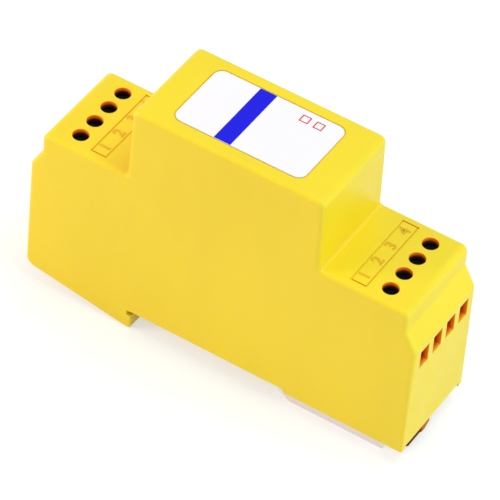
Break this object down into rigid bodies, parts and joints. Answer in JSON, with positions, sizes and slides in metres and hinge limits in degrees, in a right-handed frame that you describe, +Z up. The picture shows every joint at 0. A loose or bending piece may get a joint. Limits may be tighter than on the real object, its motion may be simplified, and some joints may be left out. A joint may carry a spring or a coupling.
{
  "type": "signal surge protector",
  "caption": "Signal surge protector for a 35 mm rail, with screw terminals at both ends, a fixed hook and a sprung sliding rail clip.",
  "frame": {"origin": "on the face that sits on the rail, at the middle of the housing's length and width", "axes": "+X along the housing towards the sliding clip, +Y across it towards the side cover, +Z up from the rail through the raised nose"},
  "size_m": [0.09, 0.0236, 0.0594],
  "materials": {
    "housing_yellow": "satin moulded polyamide",
    "label_white": "smooth film",
    "clip_grey": "satin moulded polyamide",
    "tab_brown": "satin moulded plastic",
    "board_green": "solder mask over glass laminate",
    "tinned_copper": "dull tin",
    "screw_steel": "zinc plated",
    "tube_ceramic": "glazed ceramic with metal rims",
    "diode_black": "moulded epoxy",
    "resistor_tan": "lacquer",
    "bus_copper": "bare copper",
    "spring_steel": "drawn wire"
  },
  "bodies": {
    "housing": {"case_shell": "housing_yellow", "side_cover": "housing_yellow", "label_plate": "label_white", "circuit_board": "board_green", "terminal_block_in": "housing_yellow", "terminal_block_out": "housing_yellow", "contact_pins_in": "tinned_copper", "contact_pins_out": "tinned_copper", "gas_tube_in": "tube_ceramic", "gas_tube_out": "tube_ceramic", "suppressor_diodes": "diode_black", "series_resistors": "resistor_tan", "earth_bus": "bus_copper", "clip_spring": "spring_steel"},
    "clip": {"rail_clip": "clip_grey", "release_tab": "tab_brown"},
    "screw_in_1": {"screw_in_1": "screw_steel"},
    "clamp_in_1": {"clamp_in_1": "tinned_copper"},
    "screw_in_2": {"screw_in_2": "screw_steel"},
    "clamp_in_2": {"clamp_in_2": "tinned_copper"},
    "screw_in_3": {"screw_in_3": "screw_steel"},
    "clamp_in_3": {"clamp_in_3": "tinned_copper"},
    "screw_in_4": {"screw_in_4": "screw_steel"},
    "clamp_in_4": {"clamp_in_4": "tinned_copper"},
    "screw_out_1": {"screw_out_1": "screw_steel"},
    "clamp_out_1": {"clamp_out_1": "tinned_copper"},
    "screw_out_2": {"screw_out_2": "screw_steel"},
    "clamp_out_2": {"clamp_out_2": "tinned_copper"},
    "screw_out_3": {"screw_out_3": "screw_steel"},
    "clamp_out_3": {"clamp_out_3": "tinned_copper"},
    "screw_out_4": {"screw_out_4": "screw_steel"},
    "clamp_out_4": {"clamp_out_4": "tinned_copper"}
  },
  "joints": [
    {"name": "clip_slide", "type": "slide", "parent": "housing", "child": "clip", "axis": [1, 0, 0], "range_m": [0, 0.0028], "stiffness_N_per_m": 1500, "springref_m": -0.003, "deforming": ["clip_spring"]},
    {"name": "screw_in_1_turn", "type": "hinge", "parent": "housing", "child": "screw_in_1", "pos_m": [0.036, -0.0075, 0.033], "axis": [0, 0, 1], "range_deg": [-2521, 0]},
    {"name": "clamp_in_1_lift", "type": "slide", "parent": "housing", "child": "clamp_in_1", "axis": [0, 0, 1], "range_m": [0, 0.00315]},
    {"name": "screw_in_2_turn", "type": "hinge", "parent": "housing", "child": "screw_in_2", "pos_m": [0.036, -0.0025, 0.033], "axis": [0, 0, 1], "range_deg": [-2521, 0]},
    {"name": "clamp_in_2_lift", "type": "slide", "parent": "housing", "child": "clamp_in_2", "axis": [0, 0, 1], "range_m": [0, 0.00315]},
    {"name": "screw_in_3_turn", "type": "hinge", "parent": "housing", "child": "screw_in_3", "pos_m": [0.036, 0.0025, 0.033], "axis": [0, 0, 1], "range_deg": [-2521, 0]},
    {"name": "clamp_in_3_lift", "type": "slide", "parent": "housing", "child": "clamp_in_3", "axis": [0, 0, 1], "range_m": [0, 0.00315]},
    {"name": "screw_in_4_turn", "type": "hinge", "parent": "housing", "child": "screw_in_4", "pos_m": [0.036, 0.0075, 0.033], "axis": [0, 0, 1], "range_deg": [-2521, 0]},
    {"name": "clamp_in_4_lift", "type": "slide", "parent": "housing", "child": "clamp_in_4", "axis": [0, 0, 1], "range_m": [0, 0.00315]},
    {"name": "screw_out_1_turn", "type": "hinge", "parent": "housing", "child": "screw_out_1", "pos_m": [-0.036, -0.0075, 0.033], "axis": [0, 0, 1], "range_deg": [-2521, 0]},
    {"name": "clamp_out_1_lift", "type": "slide", "parent": "housing", "child": "clamp_out_1", "axis": [0, 0, 1], "range_m": [0, 0.00315]},
    {"name": "screw_out_2_turn", "type": "hinge", "parent": "housing", "child": "screw_out_2", "pos_m": [-0.036, -0.0025, 0.033], "axis": [0, 0, 1], "range_deg": [-2521, 0]},
    {"name": "clamp_out_2_lift", "type": "slide", "parent": "housing", "child": "clamp_out_2", "axis": [0, 0, 1], "range_m": [0, 0.00315]},
    {"name": "screw_out_3_turn", "type": "hinge", "parent": "housing", "child": "screw_out_3", "pos_m": [-0.036, 0.0025, 0.033], "axis": [0, 0, 1], "range_deg": [-2521, 0]},
    {"name": "clamp_out_3_lift", "type": "slide", "parent": "housing", "child": "clamp_out_3", "axis": [0, 0, 1], "range_m": [0, 0.00315]},
    {"name": "screw_out_4_turn", "type": "hinge", "parent": "housing", "child": "screw_out_4", "pos_m": [-0.036, 0.0075, 0.033], "axis": [0, 0, 1], "range_deg": [-2521, 0]},
    {"name": "clamp_out_4_lift", "type": "slide", "parent": "housing", "child": "clamp_out_4", "axis": [0, 0, 1], "range_m": [0, 0.00315]}
  ],
  "couplings": [
    {"joint": "screw_in_1_turn", "follows": "clamp_in_1_lift", "rad_per_m": -13963},
    {"joint": "screw_in_2_turn", "follows": "clamp_in_2_lift", "rad_per_m": -13963},
    {"joint": "screw_in_3_turn", "follows": "clamp_in_3_lift", "rad_per_m": -13963},
    {"joint": "screw_in_4_turn", "follows": "clamp_in_4_lift", "rad_per_m": -13963},
    {"joint": "screw_out_1_turn", "follows": "clamp_out_1_lift", "rad_per_m": -13963},
    {"joint": "screw_out_2_turn", "follows": "clamp_out_2_lift", "rad_per_m": -13963},
    {"joint": "screw_out_3_turn", "follows": "clamp_out_3_lift", "rad_per_m": -13963},
    {"joint": "screw_out_4_turn", "follows": "clamp_out_4_lift", "rad_per_m": -13963}
  ]
}
